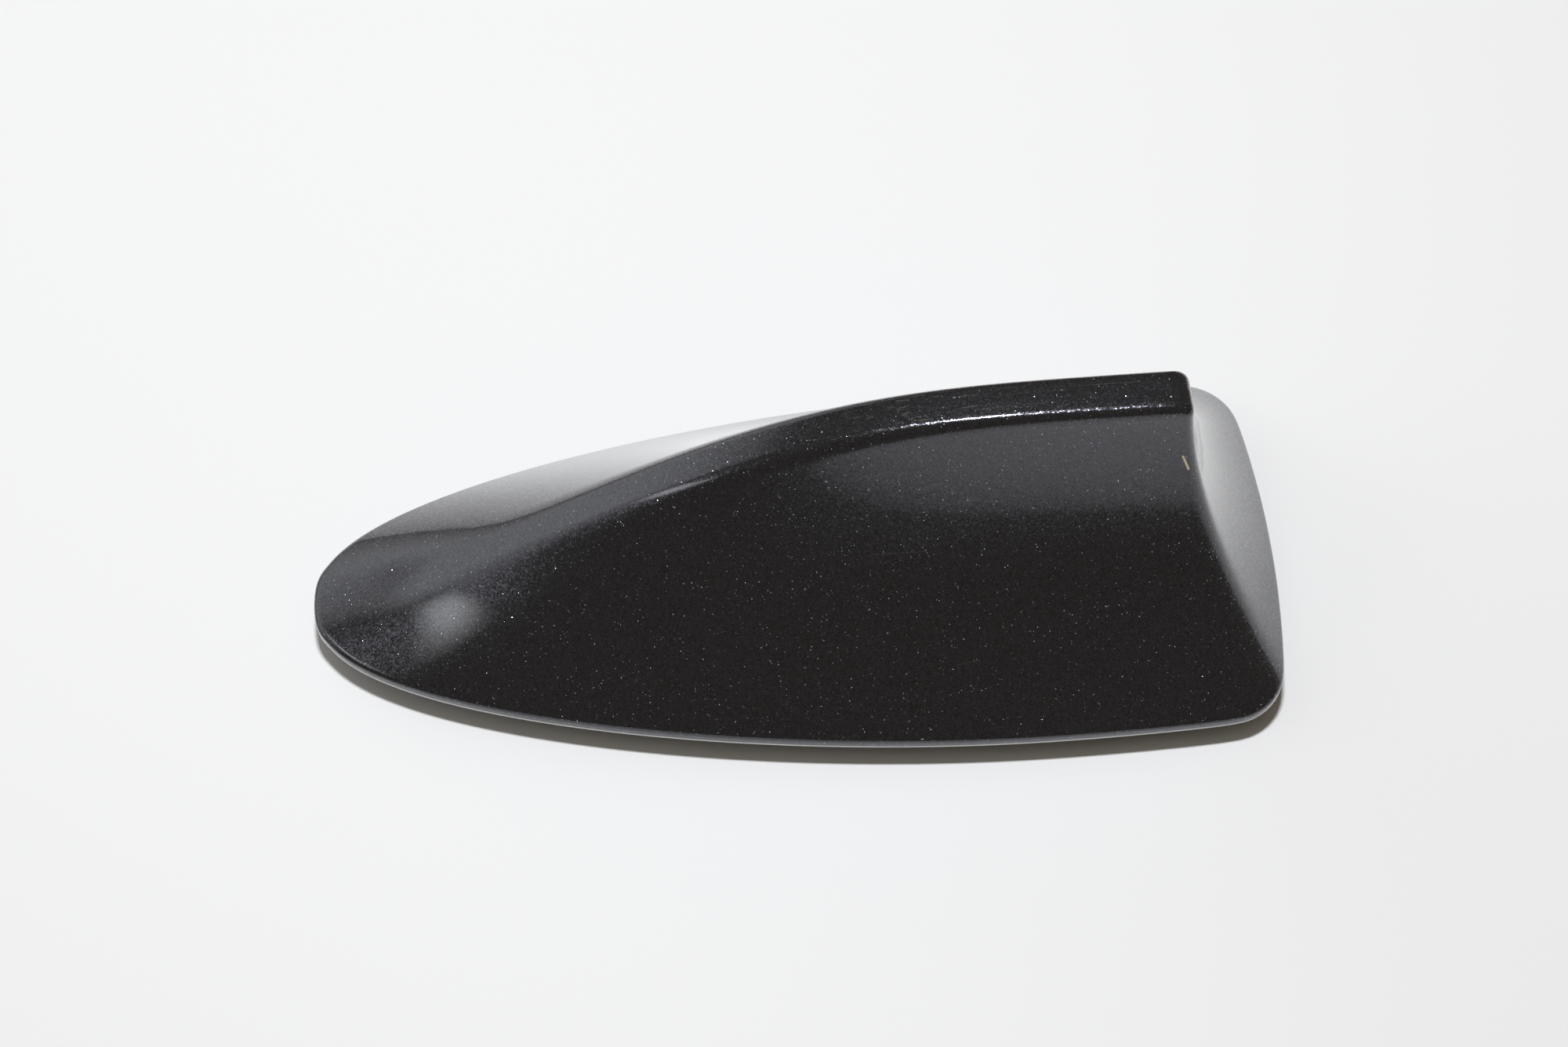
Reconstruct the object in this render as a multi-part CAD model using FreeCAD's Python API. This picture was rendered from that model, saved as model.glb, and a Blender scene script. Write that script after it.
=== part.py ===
import FreeCAD, Part
import math
import os

from FreeCAD import Vector

# Roof antenna cover: one moulded shell with a fin that rises from a long nose.
# The nose points to -X, +Z is up, and the ends of the snap tabs stand on z = 0.
# Lengths are in millimetres. Heights are measured from the rim's lower edge.

# Rim seen from above
length = 160.0
width = 68.6
widest_from_nose = 118.0
nose_fullness = 2.4
side_fullness = 1.46
side_fullness_gain = 0.36
rear_width = 65.4
rear_bow = 1.5
corner_radius = 10.0
least_inner_radius = 1.0
rim_height = 2.0
rim_rounding = 1.2

# Fin
crest_height = 48.6
crest_level_from_nose = 125.0
crest_rise = 1.05
crest_rise_gain = 1.6
crest_start = 17.0
crest_end = 141.6
crest_front_width = 4.4
crest_rear_width = 8.4
crest_crown = 0.25
crest_rounding = 3.0
crest_rounding_share = 0.28
shoulder_share = 0.6
shoulder_crown_share = 0.7
fin_corner_radius = 1.6
least_fin_radius = 0.5

# Hollow of the flanks at half their height, as a share of their reach: under 0 they bulge
nose_hollow_share = -0.018
fin_hollow_share = 0.223
hollow_start = 27.0
hollow_length = 120.0

# Wall
wall = 2.2
crest_wall = 2.6
slot_half_width = 0.9

# Snap tabs
tab_reach = 3.5
tab_width = 9.0
tab_thickness = 1.8
tab_inset = 10.0
front_tab_from_nose = 48.0
rear_tab_from_nose = 122.0
barb_depth = 0.9
barb_height = 1.6
barb_back = 0.2

# Columns run round the rim, and each climbs from the rim to the spine
side_columns = 22
corner_columns = 5
rear_columns = 4
column_growth = 1.8
rim_flat_count = 2
crest_flat_count = 4
spine_front_step = 4.0
spine_rear_step = 10.0
spine_end_step = 5.0


def mix(low, high, share):
    return low + (high - low) * share


def smooth(share):
    held = min(max(share, 0.0), 1.0)
    return held * held * (3.0 - 2.0 * held)


def half_width_at(x, inset):
    """Half the rim's width at x from the nose, for a rim drawn in by inset."""
    widest = width / 2.0 - inset
    if x <= widest_from_nose:
        ahead = 1.0 - (x - inset) / (widest_from_nose - inset)
        fullness = side_fullness + side_fullness_gain * (1.0 - ahead)
        return widest * max(1.0 - ahead ** fullness, 0.0) ** (1.0 / nose_fullness)
    behind = (x - widest_from_nose) / (length - widest_from_nose)
    return widest - (width - rear_width) / 2.0 * behind ** 2


def crest_height_at(x):
    share = min(max(x / crest_level_from_nose, 0.0), 1.0)
    return crest_height * (1.0 - (1.0 - share) ** (crest_rise + crest_rise_gain * share))


def crest_half_width_at(x, inset):
    share = min(max((x - crest_start) / (crest_end - crest_start), 0.0), 1.0)
    full = mix(crest_front_width, crest_rear_width, math.sqrt(share)) / 2.0
    return max(full - inset, min(full, slot_half_width))


def hollow_share_at(x):
    return mix(nose_hollow_share, fin_hollow_share, smooth((x - hollow_start) / hollow_length))


def rounded_corner(x_end, half, radius):
    """Points round a rear corner, from the side to the rear edge."""
    points = []
    for step in range(corner_columns):
        turn = math.pi / 2.0 * step / (corner_columns - 1)
        points.append((x_end - radius + radius * math.sin(turn), half - radius + radius * math.cos(turn)))
    return points


def rim_outline(inset):
    """Half of the rim from the nose, round a rear corner, to the middle of the rear edge."""
    radius = max(corner_radius - inset, least_inner_radius)
    corner_x = length - rear_bow - inset
    side_end = corner_x - radius
    points = []
    for step in range(side_columns):
        x = mix(inset, side_end, (step / side_columns) ** column_growth)
        points.append((x, half_width_at(x, inset)))
    points[1] = (inset, points[1][1])
    corner_half = half_width_at(side_end, inset)
    points += rounded_corner(corner_x, corner_half, radius)
    rear_half = corner_half - radius
    for step in range(1, rear_columns + 1):
        y = rear_half * (1.0 - step / rear_columns)
        points.append((corner_x + rear_bow * (1.0 - (y / rear_half) ** 2), y))
    points[-2] = (points[-1][0], points[-2][1])
    return points


def crest_outline(inset):
    """Half of the crest band's edge, column for column with the rim outline."""
    radius = max(fin_corner_radius - inset, least_fin_radius)
    start = crest_start + inset / 2.0
    end = crest_end - inset
    side_end = end - radius
    points = []
    for step in range(side_columns):
        x = mix(start, side_end, (step / side_columns) ** column_growth)
        points.append((x, crest_half_width_at(x, inset)))
    points[0] = (start, 0.0)
    points[1] = (start, points[1][1] / 2.0)
    corner_half = crest_half_width_at(side_end, inset)
    radius = min(radius, corner_half / 2.0)
    points += rounded_corner(end, corner_half, radius)
    rear_half = corner_half - radius
    for step in range(1, rear_columns + 1):
        points.append((end, rear_half * (1.0 - step / rear_columns)))
    return points


def spine_stations(inset):
    """Places along the spine where the columns end."""
    start = crest_start + inset / 2.0 + spine_front_step
    fan = crest_end - inset - spine_rear_step
    end = crest_end - inset - spine_end_step
    stations = [mix(start, fan, (step / side_columns) ** column_growth) for step in range(side_columns)]
    fanned = corner_columns + rear_columns
    return stations + [mix(fan, end, step / (fanned - 1)) for step in range(fanned)]


def flank_poles(rim, crest, inset, drop):
    """Three poles of the parabola that one column follows from the rim up to the crest's edge."""
    low = rim_height - inset / 2.0
    top = crest_height_at(crest[0]) - drop
    reach = 0.5 - 2.0 * hollow_share_at(rim[0])
    middle = (mix(crest[0], rim[0], reach), mix(crest[1], rim[1], reach), mix(low, top, 0.5))
    return (rim[0], rim[1], low), middle, (crest[0], crest[1], top)


def parabola_pole(poles, start, end):
    """Point of a parabola where start equals end, and otherwise the middle pole of that stretch of it."""
    weights = ((1.0 - start) * (1.0 - end), start * (1.0 - end) + end * (1.0 - start), start * end)
    return tuple(sum(w * pole[axis] for w, pole in zip(weights, poles)) for axis in range(3))


def flat_steps(poles, count):
    """A rounding as a run of flats: pairs of neighbouring points of its parabola."""
    points = [parabola_pole(poles, step / count, step / count) for step in range(count + 1)]
    return list(zip(points, points[1:]))


def outer_column(rim, crest, spine_x):
    """Bands of one outer column: rim, its rounding, the flank, the crest's rounding and the crest's top."""
    flank = flank_poles(rim, crest, 0.0, 0.0)
    rise = flank[2][2] - flank[0][2]
    start = min(rim_rounding / rise, crest_rounding_share)
    end = 1.0 - min(crest_rounding / rise, crest_rounding_share)
    flank_start = parabola_pole(flank, start, start)
    flank_end = parabola_pole(flank, end, end)
    foot = (rim[0], rim[1], 0.0)
    band_top = (rim[0], rim[1], rim_height - rim_rounding)
    crown = crest_crown * crest[1] / (crest_rear_width / 2.0)
    middle_x = mix(crest[0], spine_x, 0.5)
    shoulder_z = crest_height_at(middle_x) + crown * shoulder_crown_share
    shoulder = (middle_x, crest[1] * shoulder_share, shoulder_z)
    spine = (spine_x, 0.0, crest_height_at(spine_x) + crown)
    bands = [(foot, band_top)]
    bands += flat_steps((band_top, flank[0], flank_start), rim_flat_count)
    bands.append((flank_start, parabola_pole(flank, start, end), flank_end))
    bands += flat_steps((flank_end, flank[2], shoulder), crest_flat_count)
    bands.append((shoulder, spine))
    return bands


def inner_column(rim, crest, spine_x, inset, drop):
    """Bands of one inner column: from the plane of the tab ends, up the flank and across to the spine."""
    flank = flank_poles(rim, crest, inset, drop)
    foot = (rim[0], rim[1], -tab_reach)
    spine = (spine_x, 0.0, crest_height_at(spine_x) - drop)
    return [(foot, flank[0]), flank, (flank[2], spine)]


def placed(point):
    x, y, z = point
    return Vector(x - length / 2.0, -y, z + tab_reach)


def even_knots(count, degree):
    spans = count - degree
    return [i / spans for i in range(spans + 1)], [degree + 1] + [1] * (spans - 1) + [degree + 1]


def band_surface(poles, round_degree):
    """Surface of one band: round_degree round the cover, and as straight or curved upwards as its poles."""
    rise_degree = len(poles[0]) - 1
    u_knots, u_mults = even_knots(len(poles), round_degree)
    v_knots, v_mults = even_knots(rise_degree + 1, rise_degree)
    net = [[placed(pole) for pole in column] for column in poles]
    surface = Part.BSplineSurface()
    surface.buildFromPolesMultsKnots(net, u_mults, v_mults, u_knots, v_knots, False, False,
                                     round_degree, rise_degree)
    return surface


def other_side(shape):
    return shape.mirror(Vector(0, 0, 0), Vector(0, 1, 0))


def closed_solid(columns, round_degree):
    """Solid between the skin of both sides and the plane of its foot."""
    groups = [columns] if round_degree > 1 else list(zip(columns, columns[1:]))
    skin = []
    foot = []
    for group in groups:
        surfaces = [band_surface(poles, round_degree) for poles in zip(*group)]
        skin += [surface.toShape() for surface in surfaces]
        foot.append(surfaces[0].vIso(0.0).toShape())
    skin += [other_side(face) for face in skin]
    foot += [other_side(edge) for edge in foot]
    shell = Part.Shell(skin + [Part.Face(Part.Wire(Part.__sortEdges__(foot)))])
    shell.sewShape()
    solid = Part.Solid(Part.Shell(shell.Faces))
    if solid.Volume < 0.0:
        solid.reverse()
    return solid


def outer_solid():
    columns = zip(rim_outline(0.0), crest_outline(0.0), spine_stations(0.0))
    return closed_solid([outer_column(*column) for column in columns], 3)


def inner_solid(inset, drop):
    """Room inside the skin, ruled from column to column so that it has few faces."""
    columns = zip(rim_outline(inset), crest_outline(inset), spine_stations(inset))
    return closed_solid([inner_column(*column, inset, drop) for column in columns], 1)


def snap_tab(x, side, room):
    """One tab, set in from the rim and turned along it, with a barb on its outward face."""
    y = half_width_at(x, 0.0) - tab_inset
    slope = (half_width_at(x + tab_width / 2.0, 0.0) - half_width_at(x - tab_width / 2.0, 0.0)) / tab_width
    inner = -tab_thickness / 2.0
    face = tab_thickness / 2.0
    top = tab_reach + crest_height_at(x)
    profile = [(inner, 0.0), (face, 0.0), (face + barb_depth, barb_height), (face, barb_height + barb_back),
               (face, top), (inner, top)]
    points = [Vector(-tab_width / 2.0, n, z) for n, z in profile]
    tab = Part.Face(Part.makePolygon(points + points[:1])).extrude(Vector(tab_width, 0, 0))
    tab.rotate(Vector(0, 0, 0), Vector(0, 0, 1), math.degrees(math.atan(slope)))
    tab.translate(Vector(x - length / 2.0, y, 0))
    if side < 0:
        tab = other_side(tab)
    return tab.common(room)


def antenna_cover():
    cover = outer_solid().cut(inner_solid(wall, crest_wall))
    mid_wall = inner_solid(wall / 2.0, crest_wall / 2.0)
    for x in (front_tab_from_nose, rear_tab_from_nose):
        for side in (-1, 1):
            cover = cover.fuse(snap_tab(x, side, mid_wall))
    return cover


os.makedirs("parts", exist_ok=True)
cover = antenna_cover()
print("solids", len(cover.Solids), "valid", cover.isValid())
print("box", cover.BoundBox)
cover.exportStep("parts/antenna_cover.step")
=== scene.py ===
import math

import bmesh
import bpy
import numpy as np
from mathutils import Matrix, Vector


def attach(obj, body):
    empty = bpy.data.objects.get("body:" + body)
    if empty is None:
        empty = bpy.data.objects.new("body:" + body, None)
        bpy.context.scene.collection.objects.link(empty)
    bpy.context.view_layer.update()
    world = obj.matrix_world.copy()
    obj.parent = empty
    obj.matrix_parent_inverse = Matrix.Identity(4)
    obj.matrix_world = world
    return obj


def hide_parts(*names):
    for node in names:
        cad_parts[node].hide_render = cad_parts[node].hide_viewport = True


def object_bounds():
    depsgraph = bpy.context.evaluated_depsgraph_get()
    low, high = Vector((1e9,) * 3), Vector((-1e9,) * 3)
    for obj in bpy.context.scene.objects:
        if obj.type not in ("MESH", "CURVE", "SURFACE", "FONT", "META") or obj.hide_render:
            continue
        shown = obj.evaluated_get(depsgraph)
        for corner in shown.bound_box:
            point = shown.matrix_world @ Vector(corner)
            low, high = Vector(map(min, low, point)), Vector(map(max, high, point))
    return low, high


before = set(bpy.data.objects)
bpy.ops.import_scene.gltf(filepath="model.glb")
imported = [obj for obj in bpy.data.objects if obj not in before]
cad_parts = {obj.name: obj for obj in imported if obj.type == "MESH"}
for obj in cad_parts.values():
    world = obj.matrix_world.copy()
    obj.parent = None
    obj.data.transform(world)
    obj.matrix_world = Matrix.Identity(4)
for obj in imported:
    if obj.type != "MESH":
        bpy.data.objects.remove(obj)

cadLow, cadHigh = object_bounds()
mm = 0.001


# Shape of the moulded shell, in millimetres, heights from the rim's lower edge.
# The width is 0.01 under the solid's, so that the finer mesh stays inside its box.
coverShape = {
    "length": (cadHigh.x - cadLow.x) / mm,
    "width": 68.59,
    "widestFromNose": 118.0,
    "noseFullness": 2.4,
    "sideFullness": 1.46,
    "sideFullnessGain": 0.36,
    "rearWidth": 65.4,
    "rearBow": 1.5,
    "cornerRadius": 10.0,
    "leastInnerRadius": 1.0,
    "rimHeight": 2.0,
    "crestHeight": 48.6,
    "crestLevelFromNose": 125.0,
    "crestRise": 1.05,
    "crestRiseGain": 1.6,
    "crestStart": 17.0,
    "crestEnd": 141.6,
    "crestFrontWidth": 4.4,
    "crestRearWidth": 8.4,
    "crestCrown": 0.08,
    "finCornerRadius": 1.6,
    "leastFinRadius": 0.5,
    "noseHollowShare": -0.018,
    "finHollowShare": 0.223,
    "hollowStart": 27.0,
    "hollowLength": 120.0,
    "slotHalfWidth": 0.9,
    "tabReach": 3.5,
    "sideColumns": 22,
    "cornerColumns": 5,
    "rearColumns": 4,
    "columnGrowth": 1.8,
    "shoulderShare": 0.64,
    "shoulderCrown": 0.6,
    "ridgeShare": 0.4,
    "roundingLimit": 0.28,
    "spineFrontStep": 4.0,
    "spineRearStep": 10.0,
    "spineEndStep": 5.0,
    "roundSegments": 196,
    "weldDistance": 1e-4,
    "slimDistance": 1e-5,
    "sharpAngle": math.radians(38.0),
}
outerSkin = {"inset": 0.0, "drop": 0.0, "footInset": 0.35, "footRound": 0.35, "rimRounding": 0.45,
             "crestRounding": 2.2, "rows": (4, 6, 56, 14, 8)}
innerSkin = {"inset": 2.2, "drop": 2.6, "footInset": 2.0, "footRound": 0.2, "rimRounding": 0.4,
             "crestRounding": 1.0, "rows": (2, 3, 32, 5, 3)}
midSkin = {**innerSkin, "inset": 1.1, "drop": 1.3, "footInset": 0.9}


def mix(low, high, share):
    return low + (high - low) * share


def easeInOut(share):
    held = min(max(share, 0.0), 1.0)
    return held * held * (3.0 - 2.0 * held)


def rimHalfWidth(x, inset):
    c = coverShape
    widest = c["width"] / 2 - inset
    if x <= c["widestFromNose"]:
        ahead = 1 - (x - inset) / (c["widestFromNose"] - inset)
        fullness = c["sideFullness"] + c["sideFullnessGain"] * (1 - ahead)
        return widest * max(1 - ahead ** fullness, 0.0) ** (1 / c["noseFullness"])
    behind = (x - c["widestFromNose"]) / (c["length"] - c["widestFromNose"])
    return widest - (c["width"] - c["rearWidth"]) / 2 * behind ** 2


def crestHeightAt(x):
    c = coverShape
    share = min(max(x / c["crestLevelFromNose"], 0.0), 1.0)
    return c["crestHeight"] * (1 - (1 - share) ** (c["crestRise"] + c["crestRiseGain"] * share))


def crestHalfWidth(x, inset):
    c = coverShape
    share = min(max((x - c["crestStart"]) / (c["crestEnd"] - c["crestStart"]), 0.0), 1.0)
    full = mix(c["crestFrontWidth"], c["crestRearWidth"], math.sqrt(share)) / 2
    return max(full - inset, min(full, c["slotHalfWidth"]))


def hollowShareAt(x):
    c = coverShape
    along = (x - c["hollowStart"]) / c["hollowLength"]
    return mix(c["noseHollowShare"], c["finHollowShare"], easeInOut(along))


def cornerArc(xEnd, half, radius):
    count = coverShape["cornerColumns"]
    turns = [math.pi / 2 * step / (count - 1) for step in range(count)]
    return [(xEnd - radius + radius * math.sin(t), half - radius + radius * math.cos(t)) for t in turns]


def rimOutline(inset):
    # Nose, side, rear corner, middle of the rear edge
    c = coverShape
    radius = max(c["cornerRadius"] - inset, c["leastInnerRadius"])
    cornerX = c["length"] - c["rearBow"] - inset
    sideEnd = cornerX - radius
    points = []
    for step in range(c["sideColumns"]):
        x = mix(inset, sideEnd, (step / c["sideColumns"]) ** c["columnGrowth"])
        points.append((x, rimHalfWidth(x, inset)))
    # The second point stands straight beside the first, which rounds the nose
    points[1] = (inset, points[1][1])
    cornerHalf = rimHalfWidth(sideEnd, inset)
    points += cornerArc(cornerX, cornerHalf, radius)
    rearHalf = cornerHalf - radius
    for step in range(1, c["rearColumns"] + 1):
        y = rearHalf * (1 - step / c["rearColumns"])
        points.append((cornerX + c["rearBow"] * (1 - (y / rearHalf) ** 2), y))
    # The last two share one x, so both halves meet without a crease
    points[-2] = (points[-1][0], points[-2][1])
    return points


def crestOutline(inset):
    # Edge of the crest band, column for column with the rim
    c = coverShape
    radius = max(c["finCornerRadius"] - inset, c["leastFinRadius"])
    start = c["crestStart"] + inset / 2
    end = c["crestEnd"] - inset
    sideEnd = end - radius
    points = []
    for step in range(c["sideColumns"]):
        x = mix(start, sideEnd, (step / c["sideColumns"]) ** c["columnGrowth"])
        points.append((x, crestHalfWidth(x, inset)))
    points[0] = (start, 0.0)
    points[1] = (start, points[1][1] / 2)
    cornerHalf = crestHalfWidth(sideEnd, inset)
    radius = min(radius, cornerHalf / 2)
    points += cornerArc(end, cornerHalf, radius)
    rearHalf = cornerHalf - radius
    for step in range(1, c["rearColumns"] + 1):
        points.append((end, rearHalf * (1 - step / c["rearColumns"])))
    return points


def spineStations(inset):
    c = coverShape
    start = c["crestStart"] + inset / 2 + c["spineFrontStep"]
    fan = c["crestEnd"] - inset - c["spineRearStep"]
    end = c["crestEnd"] - inset - c["spineEndStep"]
    count = c["sideColumns"]
    stations = [mix(start, fan, (step / count) ** c["columnGrowth"]) for step in range(count)]
    fanned = c["cornerColumns"] + c["rearColumns"]
    return stations + [mix(fan, end, step / (fanned - 1)) for step in range(fanned)]


def parabola(first, middle, last, shares):
    t = np.reshape(shares, (-1, 1))
    return (1 - t) ** 2 * np.array(first) + 2 * t * (1 - t) * np.array(middle) + t ** 2 * np.array(last)


def skinColumn(foot, rim, crest, spineX, skin):
    # Points of one column: foot, rim, flank, rounded edge of the crest, crest band to the spine
    c = coverShape
    low = c["rimHeight"] - skin["inset"] / 2
    top = crestHeightAt(crest[0]) - skin["drop"]
    reach = 0.5 - 2 * hollowShareAt(rim[0])
    rimPole = (*rim, low)
    flankPole = (mix(crest[0], rim[0], reach), mix(crest[1], rim[1], reach), mix(low, top, 0.5))
    crestPole = (*crest, top)
    start = min(skin["rimRounding"] / (top - low), c["roundingLimit"])
    end = 1 - min(skin["crestRounding"] / (top - low), c["roundingLimit"])
    flankStart, flankEnd = parabola(rimPole, flankPole, crestPole, (start, end))
    crown = c["crestCrown"] * crest[1] / (c["crestRearWidth"] / 2)
    middleX = mix(crest[0], spineX, 0.5)
    ridgeX = mix(middleX, spineX, c["ridgeShare"])
    shoulder = (middleX, crest[1] * c["shoulderShare"],
                crestHeightAt(middleX) - skin["drop"] + crown * c["shoulderCrown"])
    ridge = (ridgeX, crest[1] * c["ridgeShare"], crestHeightAt(ridgeX) - skin["drop"] + crown)
    spine = (spineX, 0.0, crestHeightAt(spineX) - skin["drop"] + crown)
    steps = [np.linspace(0, 1, rows + 1) for rows in skin["rows"]]
    runs = [
        parabola((*foot, 0.0), (*rim, 0.0), (*rim, skin["footRound"]), steps[0]),
        parabola((*rim, low - skin["rimRounding"]), rimPole, flankStart, steps[1]),
        parabola(rimPole, flankPole, crestPole, mix(start, end, steps[2][1:])),
        parabola(flankEnd, crestPole, shoulder, steps[3][1:]),
        parabola(shoulder, ridge, spine, steps[4][1:]),
    ]
    return np.vstack(runs)


def splineWeights(poleCount, segments):
    # Cubic spline weights of every pole at evenly spaced places, ends held
    degree = 3
    spans = poleCount - degree
    knots = [0.0] * degree + [i / spans for i in range(spans + 1)] + [1.0] * degree
    places = np.linspace(0.0, 1.0, segments + 1)
    inside = np.minimum(places, 1.0 - 1e-9)
    weights = [((inside >= a) & (inside < b)).astype(float) for a, b in zip(knots, knots[1:])]
    for d in range(1, degree + 1):
        raised = []
        for i in range(len(weights) - 1):
            before = knots[i + d] - knots[i]
            after = knots[i + d + 1] - knots[i + 1]
            term = np.zeros_like(inside)
            if before > 0:
                term = term + (inside - knots[i]) / before * weights[i]
            if after > 0:
                term = term + (knots[i + d + 1] - inside) / after * weights[i + 1]
            raised.append(term)
        weights = raised
    return np.array(weights).T


def skinSurface(skin):
    # Points of the near half, round the cover and upwards, in metres
    columns = zip(rimOutline(skin["footInset"]), rimOutline(skin["inset"]), crestOutline(skin["inset"]),
                  spineStations(skin["inset"]))
    net = np.array([skinColumn(*column, skin) for column in columns])
    weights = splineWeights(len(net), coverShape["roundSegments"])
    points = np.einsum("ui,ivk->uvk", weights, net)
    return (points - (coverShape["length"] / 2, 0, -coverShape["tabReach"])) * (mm, -mm, mm)


def layHalfSkin(bm, surface, materialIndex):
    # A flat grid pulled onto the skin
    rounds = surface.shape[0] - 1
    rises = surface.shape[1] - 1
    grid = bmesh.ops.create_grid(bm, x_segments=rounds, y_segments=rises, size=1.0)
    footVerts = []
    for vert in grid["verts"]:
        u = round((vert.co.x + 1) / 2 * rounds)
        v = round((vert.co.y + 1) / 2 * rises)
        vert.co = Vector(surface[u, v])
        if v == 0:
            footVerts.append((u, vert))
    for face in {f for vert in grid["verts"] for f in vert.link_faces}:
        face.material_index = materialIndex
    return [vert for u, vert in sorted(footVerts, key=lambda pair: pair[0])]


# Snap tabs under the rim, in millimetres
tabShape = {
    "fromNose": (48.0, 122.0),
    "inset": 10.0,
    "width": 9.0,
    "thickness": 1.8,
    "barbDepth": 0.9,
    "barbHeight": 1.6,
    "barbBack": 0.2,
    "topHeight": 4.0,
    "edgeRound": 0.12,
    "edgeSegments": 2,
}


def addTab(bm, x, side, midWall):
    # The tab's top ends in the middle of the wall above it
    t = tabShape
    half = t["width"] / 2
    face = t["thickness"] / 2
    profile = [(-face, 0.0), (face, 0.0), (face + t["barbDepth"], t["barbHeight"]),
               (face, t["barbHeight"] + t["barbBack"]), (face, t["topHeight"]), (-face, t["topHeight"])]
    firstEnd = [bm.verts.new((-half * mm, n * mm, z * mm)) for n, z in profile]
    endFace = bm.faces.new(firstEnd)
    grown = bmesh.ops.extrude_face_region(bm, geom=[endFace])["geom"]
    farEnd = [part for part in grown if isinstance(part, bmesh.types.BMVert)]
    bmesh.ops.translate(bm, vec=(t["width"] * mm, 0, 0), verts=farEnd)
    tabVerts = firstEnd + farEnd
    topVerts = [vert for vert in tabVerts if vert.co.z > (t["topHeight"] - 0.01) * mm]
    slope = (rimHalfWidth(x + half, 0.0) - rimHalfWidth(x - half, 0.0)) / t["width"]
    place = Vector((x - coverShape["length"] / 2, rimHalfWidth(x, 0.0) - t["inset"], 0.0)) * mm
    turn = Matrix.Rotation(math.atan(slope), 4, "Z")
    move = Matrix.Diagonal((1, side, 1, 1)) @ Matrix.Translation(place) @ turn
    bmesh.ops.transform(bm, matrix=move, verts=tabVerts)
    for vert in topVerts:
        away = (midWall[:, 0] - vert.co.x) ** 2 + (midWall[:, 1] + abs(vert.co.y)) ** 2
        vert.co.z = midWall[np.argmin(away), 2]
    tabFaces = list(dict.fromkeys(f for vert in tabVerts for f in vert.link_faces))
    for tabFace in tabFaces:
        tabFace.material_index = 1
    tabEdges = list(dict.fromkeys(edge for tabFace in tabFaces for edge in tabFace.edges))
    bmesh.ops.bevel(bm, geom=tabEdges, offset=t["edgeRound"] * mm, offset_type="OFFSET",
                    segments=t["edgeSegments"], profile=0.5, affect="EDGES", material=1)


def buildCover(paint, plastic):
    c = coverShape
    bm = bmesh.new()
    outerFoot = layHalfSkin(bm, skinSurface(outerSkin), 0)
    innerFoot = layHalfSkin(bm, skinSurface(innerSkin), 1)
    rimEdges = []
    for loop in (outerFoot, innerFoot):
        rimEdges += [bm.edges.get(pair) for pair in zip(loop, loop[1:])]
    seat = bmesh.ops.bridge_loops(bm, edges=rimEdges)
    for face in seat["faces"]:
        face.material_index = 1
    bmesh.ops.mirror(bm, geom=bm.verts[:] + bm.edges[:] + bm.faces[:], matrix=Matrix.Identity(4),
                     merge_dist=c["weldDistance"] * mm, axis="Y")
    bmesh.ops.remove_doubles(bm, verts=bm.verts[:], dist=c["weldDistance"] * mm)
    bmesh.ops.dissolve_degenerate(bm, dist=c["slimDistance"] * mm, edges=bm.edges[:])
    print("shell", len(bm.faces), "faces, open edges", sum(1 for e in bm.edges if not e.is_manifold))
    midWall = skinSurface(midSkin).reshape(-1, 3)
    for x in tabShape["fromNose"]:
        for side in (-1, 1):
            addTab(bm, x, side, midWall)
    bmesh.ops.recalc_face_normals(bm, faces=bm.faces[:])
    for face in bm.faces:
        face.smooth = True
    for edge in bm.edges:
        if edge.is_manifold and edge.calc_face_angle() > c["sharpAngle"]:
            edge.smooth = False
    print("with tabs", len(bm.faces), "faces, open edges", sum(1 for e in bm.edges if not e.is_manifold))
    mesh = bpy.data.meshes.new("antennaCoverShell")
    bm.to_mesh(mesh)
    bm.free()
    cover = bpy.data.objects.new("antennaCoverShell", mesh)
    bpy.context.collection.objects.link(cover)
    mesh.materials.append(paint)
    mesh.materials.append(plastic)
    return cover


# Node helpers
def newMaterial(name):
    material = bpy.data.materials.new(name)
    material.use_nodes = True
    material.node_tree.nodes.clear()
    return material, material.node_tree


def addNode(tree, kind, **settings):
    node = tree.nodes.new(kind)
    for key, value in settings.items():
        if hasattr(node, key):
            setattr(node, key, value)
        else:
            node.inputs[key].default_value = value
    return node


def feed(tree, socket, value):
    if isinstance(value, (int, float, tuple, list)):
        socket.default_value = value
    else:
        tree.links.new(value, socket)


def math2(tree, operation, first, second=None, third=None):
    node = addNode(tree, "ShaderNodeMath", operation=operation)
    for slot, value in enumerate((first, second, third)):
        if value is not None:
            feed(tree, node.inputs[slot], value)
    return node.outputs[0]


def vector2(tree, operation, first, second=None, scale=None, output=0):
    node = addNode(tree, "ShaderNodeVectorMath", operation=operation)
    feed(tree, node.inputs[0], first)
    if second is not None:
        feed(tree, node.inputs[1], second)
    if scale is not None:
        feed(tree, node.inputs["Scale"], scale)
    return node.outputs[output]


def between(tree, value, low, high):
    # 0 at low, 1 at high, held outside
    node = addNode(tree, "ShaderNodeMapRange", interpolation_type="SMOOTHSTEP")
    feed(tree, node.inputs["Value"], value)
    node.inputs["From Min"].default_value = min(low, high)
    node.inputs["From Max"].default_value = max(low, high)
    node.inputs["To Min"].default_value = 0.0 if low < high else 1.0
    node.inputs["To Max"].default_value = 1.0 if low < high else 0.0
    return node.outputs[0]


def mixColor(tree, share, first, second):
    node = addNode(tree, "ShaderNodeMix", data_type="RGBA")
    feed(tree, node.inputs["Factor"], share)
    feed(tree, node.inputs[6], first)
    feed(tree, node.inputs[7], second)
    return node.outputs[2]


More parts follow.
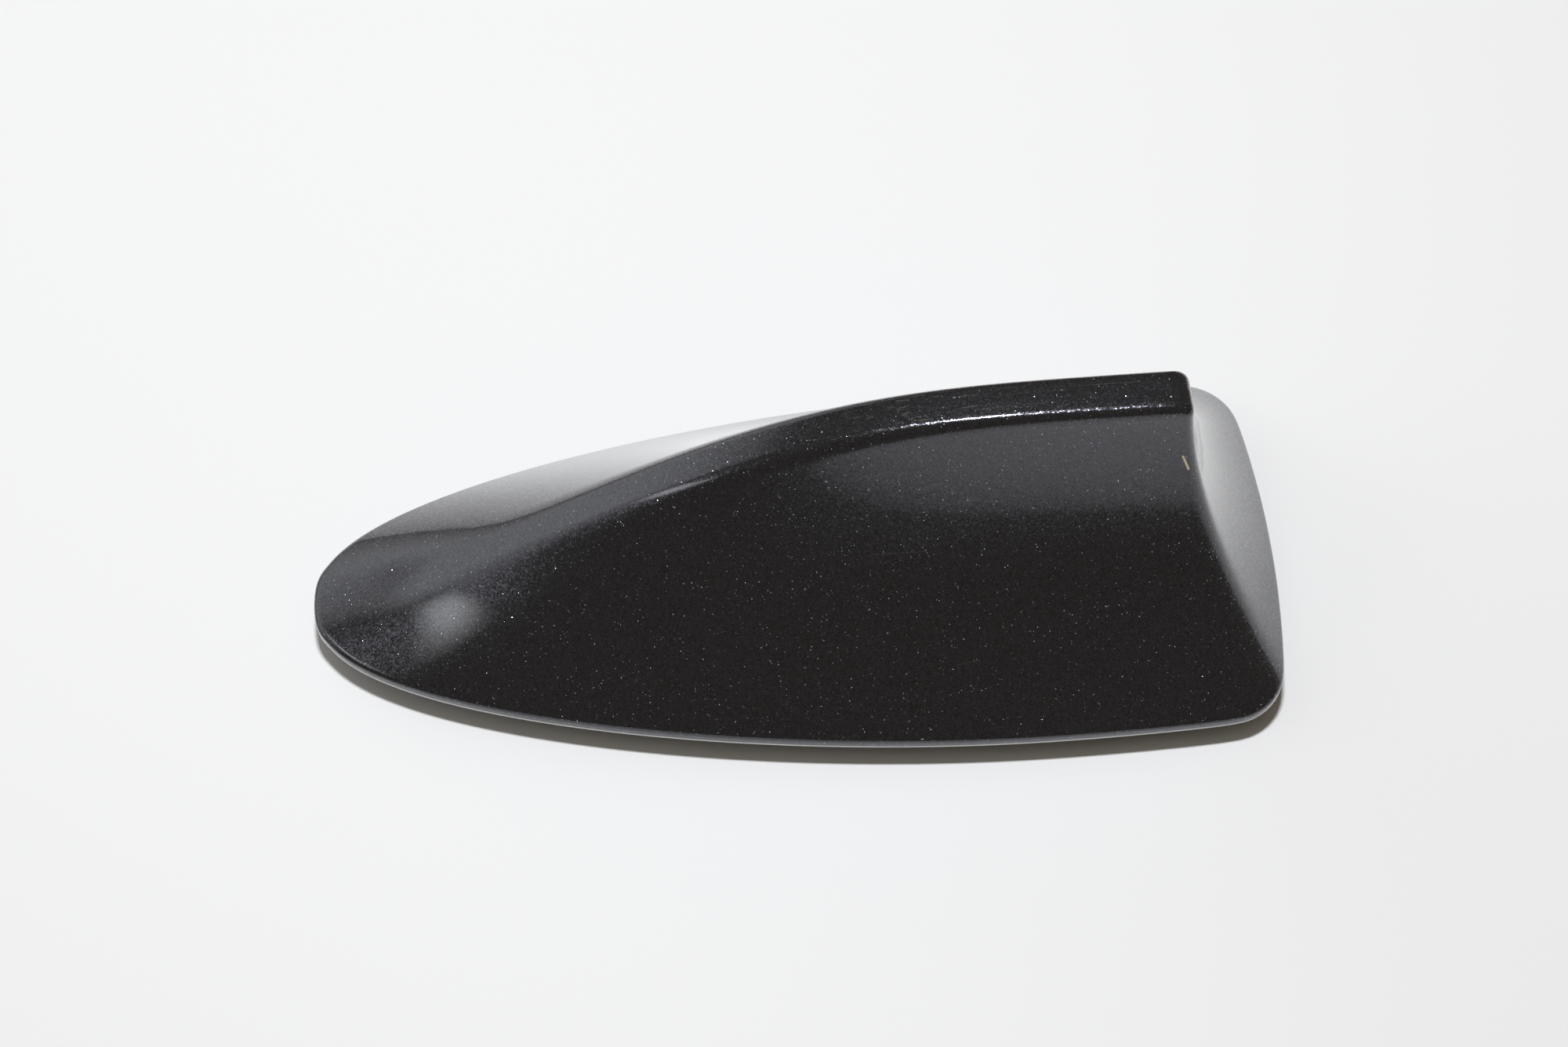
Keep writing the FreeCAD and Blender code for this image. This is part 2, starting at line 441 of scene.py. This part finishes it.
# Black metallic paint: dark base, scattered flakes that each lean their own way, clear coat on top.
# A pale line runs along the rim's lower edge. The marks are scratches on the near flank and a chip at the
# fin's rear edge. Their places, and the edge's height, are in millimetres in the part's frame.
paintFinish = {
    "baseColor": (0.043, 0.044, 0.054, 1.0),
    "baseVary": 0.45,
    "baseMetal": 0.8,
    "baseLean": 0.14,
    "baseRoughness": 0.2,
    "flakeColor": (0.88, 0.87, 0.86, 1.0),
    "flakeTint": 0.2,
    "faintFlake": 0.12,
    "strongFlake": 1.1,
    "strongPower": 1.8,
    "flakePerMetre": 4600.0,
    "flakeShare": 0.05,
    "flakeRadius": 0.34,
    "flakeLean": 0.9,
    "flakeRoughness": 0.28,
    "coatRoughness": 0.045,
    "coatIor": 1.5,
    "crestStretch": (26.0, 2400.0, 2400.0),
    "crestPatch": 45.0,
    "crestLevel": (0.93, 0.99),
    "crestLine": (0.58, 0.68),
    "crestPatchShare": (0.42, 0.6),
    "crestScratch": 0.35,
    "scratchColor": (0.30, 0.29, 0.28, 1.0),
    "scratchRoughness": 0.5,
    "chipColor": (0.80, 0.66, 0.44, 1.0),
    "markCore": 0.5,
    "edgeColor": (0.62, 0.63, 0.64, 1.0),
    "edgeHeight": 4.0,
    "edgeFade": 0.25,
    "scratches": (
        {"start": (10.88, -13.12, 30.55), "end": (19.46, -13.12, 30.44), "halfWidth": 0.1, "strength": 0.22},
        {"start": (24.80, -8.98, 37.55), "end": (28.03, -8.70, 37.87), "halfWidth": 0.1, "strength": 0.16},
        {"start": (23.91, -25.03, 14.63), "end": (27.72, -24.65, 14.97), "halfWidth": 0.1, "strength": 0.16},
    ),
    "chips": (
        {"start": (60.33, -6.00, 42.11), "end": (61.35, -6.78, 39.63), "halfWidth": 0.22, "strength": 1.0},
    ),
}


def markShare(tree, place, mark):
    # How much of a straight mark covers a place on the near side, seen across the flank
    across = (1.0, 0.0, 1.0)
    start = Vector(mark["start"]) * mm
    run = (Vector(mark["end"]) - Vector(mark["start"])) * mm
    start.y = 0.0
    run.y = 0.0
    fromStart = vector2(tree, "SUBTRACT", vector2(tree, "MULTIPLY", place, across), tuple(start))
    along = vector2(tree, "DOT_PRODUCT", fromStart, tuple(run / run.length_squared), output=1)
    held = math2(tree, "MINIMUM", math2(tree, "MAXIMUM", along, 0.0), 1.0)
    nearest = vector2(tree, "SCALE", tuple(run), scale=held)
    away = vector2(tree, "LENGTH", vector2(tree, "SUBTRACT", fromStart, nearest), output=1)
    half = mark["halfWidth"] * mm
    share = between(tree, away, half, half * paintFinish["markCore"])
    apart = addNode(tree, "ShaderNodeSeparateXYZ")
    tree.links.new(place, apart.inputs[0])
    nearSide = math2(tree, "LESS_THAN", apart.outputs[1], 0.0)
    return math2(tree, "MULTIPLY", math2(tree, "MULTIPLY", share, nearSide), mark["strength"])


def markShares(tree, place, marks):
    total = 0.0
    for mark in marks:
        total = math2(tree, "MAXIMUM", markShare(tree, place, mark), total)
    return total


def crestScratches(tree, place, normal):
    # Fine lengthwise scratches in patches on the level top of the crest band
    p = paintFinish
    stretched = vector2(tree, "MULTIPLY", place, p["crestStretch"])
    lines = addNode(tree, "ShaderNodeTexNoise", Scale=1.0, Detail=2.0)
    tree.links.new(stretched, lines.inputs["Vector"])
    patches = addNode(tree, "ShaderNodeTexNoise", Scale=p["crestPatch"], Detail=1.0)
    tree.links.new(place, patches.inputs["Vector"])
    upright = addNode(tree, "ShaderNodeSeparateXYZ")
    tree.links.new(normal, upright.inputs[0])
    level = between(tree, upright.outputs[2], *p["crestLevel"])
    line = between(tree, lines.outputs["Fac"], *p["crestLine"])
    patch = between(tree, patches.outputs["Fac"], *p["crestPatchShare"])
    return math2(tree, "MULTIPLY", math2(tree, "MULTIPLY", line, patch),
                 math2(tree, "MULTIPLY", level, p["crestScratch"]))


def paintMaterial():
    p = paintFinish
    material, tree = newMaterial("blackMetallicPaint")
    links = tree.links
    coords = addNode(tree, "ShaderNodeTexCoord")
    surface = addNode(tree, "ShaderNodeNewGeometry")
    place = coords.outputs["Object"]
    normal = surface.outputs["Normal"]
    cells = addNode(tree, "ShaderNodeTexVoronoi", feature="F1", Scale=p["flakePerMetre"], Randomness=1.0)
    links.new(place, cells.inputs["Vector"])
    split = addNode(tree, "ShaderNodeSeparateColor")
    links.new(cells.outputs["Color"], split.inputs[0])
    chosen = math2(tree, "LESS_THAN", split.outputs[0], p["flakeShare"])
    small = math2(tree, "LESS_THAN", cells.outputs["Distance"], p["flakeRadius"])
    flake = math2(tree, "MULTIPLY", chosen, small)
    own = addNode(tree, "ShaderNodeTexWhiteNoise", noise_dimensions="3D")
    cellPlace = vector2(tree, "SCALE", cells.outputs["Position"], scale=p["flakePerMetre"])
    links.new(cellPlace, own.inputs["Vector"])
    centred = vector2(tree, "SUBTRACT", own.outputs["Color"], (0.5, 0.5, 0.5))
    leaning = math2(tree, "MULTIPLY_ADD", flake, p["flakeLean"] - p["baseLean"], p["baseLean"])
    lean = vector2(tree, "SCALE", centred, scale=leaning)
    tilted = vector2(tree, "NORMALIZE", vector2(tree, "ADD", normal, lean))
    flakeTint = mixColor(tree, p["flakeTint"], p["flakeColor"], cells.outputs["Color"])
    fewStrong = math2(tree, "POWER", split.outputs[2], p["strongPower"])
    strengthRange = p["strongFlake"] - p["faintFlake"]
    strength = math2(tree, "MULTIPLY_ADD", fewStrong, strengthRange, p["faintFlake"])
    flakeGlow = vector2(tree, "SCALE", flakeTint, scale=strength)
    flankMarks = markShares(tree, place, p["scratches"])
    worn = math2(tree, "MAXIMUM", flankMarks, crestScratches(tree, place, normal))
    chipped = markShares(tree, place, p["chips"])
    # Pale line along the rim's lower edge: a flat pale colour without metal below edgeHeight, fading out over
    # edgeFade above it, the same all round
    height = addNode(tree, "ShaderNodeSeparateXYZ")
    links.new(place, height.inputs[0])
    edgeTop = (p["edgeHeight"] + p["edgeFade"]) * mm
    edge = between(tree, height.outputs[2], edgeTop, p["edgeHeight"] * mm)
    vary = math2(tree, "MULTIPLY_ADD", split.outputs[1], 2 * p["baseVary"], 1.0 - p["baseVary"])
    base = vector2(tree, "SCALE", p["baseColor"][:3], scale=vary)
    color = mixColor(tree, flake, base, flakeGlow)
    color = mixColor(tree, worn, color, p["scratchColor"])
    color = mixColor(tree, chipped, color, p["chipColor"])
    color = mixColor(tree, edge, color, p["edgeColor"])
    shader = addNode(tree, "ShaderNodeBsdfPrincipled")
    shader.inputs["Coat Weight"].default_value = 1.0
    shader.inputs["Coat Roughness"].default_value = p["coatRoughness"]
    shader.inputs["Coat IOR"].default_value = p["coatIor"]
    links.new(color, shader.inputs["Base Color"])
    metal = math2(tree, "MULTIPLY_ADD", flake, 1.0 - p["baseMetal"], p["baseMetal"])
    # The chip and the pale edge line carry no metal
    metalKept = math2(tree, "SUBTRACT", 1.0, math2(tree, "MAXIMUM", chipped, edge))
    links.new(math2(tree, "MULTIPLY", metal, metalKept), shader.inputs["Metallic"])
    rough = math2(tree, "MULTIPLY_ADD", flake, p["flakeRoughness"] - p["baseRoughness"], p["baseRoughness"])
    rough = math2(tree, "MAXIMUM", rough, math2(tree, "MULTIPLY", worn, p["scratchRoughness"]))
    links.new(rough, shader.inputs["Roughness"])
    links.new(tilted, shader.inputs["Normal"])
    output = addNode(tree, "ShaderNodeOutputMaterial")
    links.new(shader.outputs[0], output.inputs["Surface"])
    return material


# Bare moulded plastic on the inside
plasticFinish = {
    "color": (0.018, 0.018, 0.019, 1.0),
    "roughness": 0.5,
    "grainPerMetre": 2500.0,
    "grainStrength": 0.4,
    "grainDepth": 0.00004,
}


def plasticMaterial():
    p = plasticFinish
    material, tree = newMaterial("mouldedBlackPlastic")
    coords = addNode(tree, "ShaderNodeTexCoord")
    grain = addNode(tree, "ShaderNodeTexNoise", Scale=p["grainPerMetre"], Detail=3.0)
    tree.links.new(coords.outputs["Object"], grain.inputs["Vector"])
    bump = addNode(tree, "ShaderNodeBump", Strength=p["grainStrength"], Distance=p["grainDepth"])
    tree.links.new(grain.outputs["Fac"], bump.inputs["Height"])
    shader = addNode(tree, "ShaderNodeBsdfPrincipled")
    shader.inputs["Base Color"].default_value = p["color"]
    shader.inputs["Roughness"].default_value = p["roughness"]
    tree.links.new(bump.outputs[0], shader.inputs["Normal"])
    output = addNode(tree, "ShaderNodeOutputMaterial")
    tree.links.new(shader.outputs[0], output.inputs["Surface"])
    return material


# Plain pale table
floorSettings = {
    "halfSize": 3.0,
    "color": (0.90, 0.905, 0.905, 1.0),
    "roughness": 0.6,
}


def buildFloor():
    f = floorSettings
    material, tree = newMaterial("paleTable")
    shader = addNode(tree, "ShaderNodeBsdfPrincipled")
    shader.inputs["Base Color"].default_value = f["color"]
    shader.inputs["Roughness"].default_value = f["roughness"]
    output = addNode(tree, "ShaderNodeOutputMaterial")
    tree.links.new(shader.outputs[0], output.inputs["Surface"])
    bm = bmesh.new()
    bmesh.ops.create_grid(bm, x_segments=1, y_segments=1, size=f["halfSize"])
    mesh = bpy.data.meshes.new("paleTable")
    bm.to_mesh(mesh)
    bm.free()
    mesh.materials.append(material)
    floor = bpy.data.objects.new("paleTable", mesh)
    bpy.context.collection.objects.link(floor)
    return floor


# A compact key lamp overhead and a little behind, a wide pale panel and a soft small lamp on the nose's side,
# and a dim warm room
lightSettings = {
    "key": {"place": (0.0, 0.175, 0.985), "size": (0.15, 0.07), "power": 7.7, "color": (0.98, 1.0, 1.04)},
    "panel": {"place": (-0.8, 0.6, 0.42), "size": (2.4, 0.85), "power": 6.4, "color": (0.97, 1.0, 1.04),
              "fade": 1.0},
    "small": {"place": (-0.88, -0.17, 0.73), "size": (0.9, 0.14), "power": 1.6, "color": (0.98, 1.0, 1.03),
              "fade": 1.5},
    "roomColor": (1.0, 0.87, 0.68, 1.0),
    "roomStrength": 0.15,
}


def fadeToEdge(data, power):
    # Full strength in the middle of the lamp, none at its edge
    data.use_nodes = True
    tree = data.node_tree
    spot = addNode(tree, "ShaderNodeNewGeometry")
    apart = addNode(tree, "ShaderNodeSeparateXYZ")
    tree.links.new(spot.outputs["Parametric"], apart.inputs[0])
    fades = []
    for axis in (0, 1):
        off = math2(tree, "SUBTRACT", apart.outputs[axis], 0.5)
        fades.append(math2(tree, "MULTIPLY_ADD", math2(tree, "MULTIPLY", off, off), -4.0, 1.0))
    strength = math2(tree, "POWER", math2(tree, "MULTIPLY", fades[0], fades[1]), power)
    tree.links.new(strength, tree.nodes["Emission"].inputs["Strength"])


def addLamp(name, settings):
    data = bpy.data.lights.new(name, "AREA")
    data.shape = "RECTANGLE"
    data.size, data.size_y = settings["size"]
    data.energy = settings["power"]
    data.color = settings["color"]
    if "fade" in settings:
        fadeToEdge(data, settings["fade"])
    lamp = bpy.data.objects.new(name, data)
    lamp.location = settings["place"]
    lamp.rotation_euler = (-Vector(settings["place"])).to_track_quat("-Z", "Y").to_euler()
    bpy.context.collection.objects.link(lamp)


def buildLights():
    s = lightSettings
    addLamp("keyLamp", s["key"])
    addLamp("sidePanel", s["panel"])
    addLamp("smallLamp", s["small"])
    world = bpy.data.worlds.new("dimRoom")
    bpy.context.scene.world = world
    world.use_nodes = True
    back = world.node_tree.nodes["Background"]
    back.inputs["Color"].default_value = s["roomColor"]
    back.inputs["Strength"].default_value = s["roomStrength"]


# Camera in the photograph's place: level, no shift
cameraSettings = {
    "lens": 72.0,
    "sensorWidth": 36.0,
    "clipStart": 0.01,
    "place": (-0.0229, -0.27595, 0.44892),
    "target": (-0.00105, 0.01117, 0.0035),
}


def buildCamera():
    s = cameraSettings
    data = bpy.data.cameras.new("photoCamera")
    data.lens = s["lens"]
    data.sensor_width = s["sensorWidth"]
    data.sensor_fit = "HORIZONTAL"
    data.clip_start = s["clipStart"]
    camera = bpy.data.objects.new("photoCamera", data)
    camera.location = s["place"]
    camera.rotation_euler = (Vector(s["target"]) - Vector(s["place"])).to_track_quat("-Z", "Y").to_euler()
    bpy.context.collection.objects.link(camera)
    bpy.context.scene.camera = camera


bpy.context.scene.view_settings.view_transform = "Standard"
buildCamera()
buildLights()
buildFloor()
print("camera, lights and table set")
cover = buildCover(paintMaterial(), plasticMaterial())
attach(cover, "root")
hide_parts("antenna_cover")
print("cover placed")
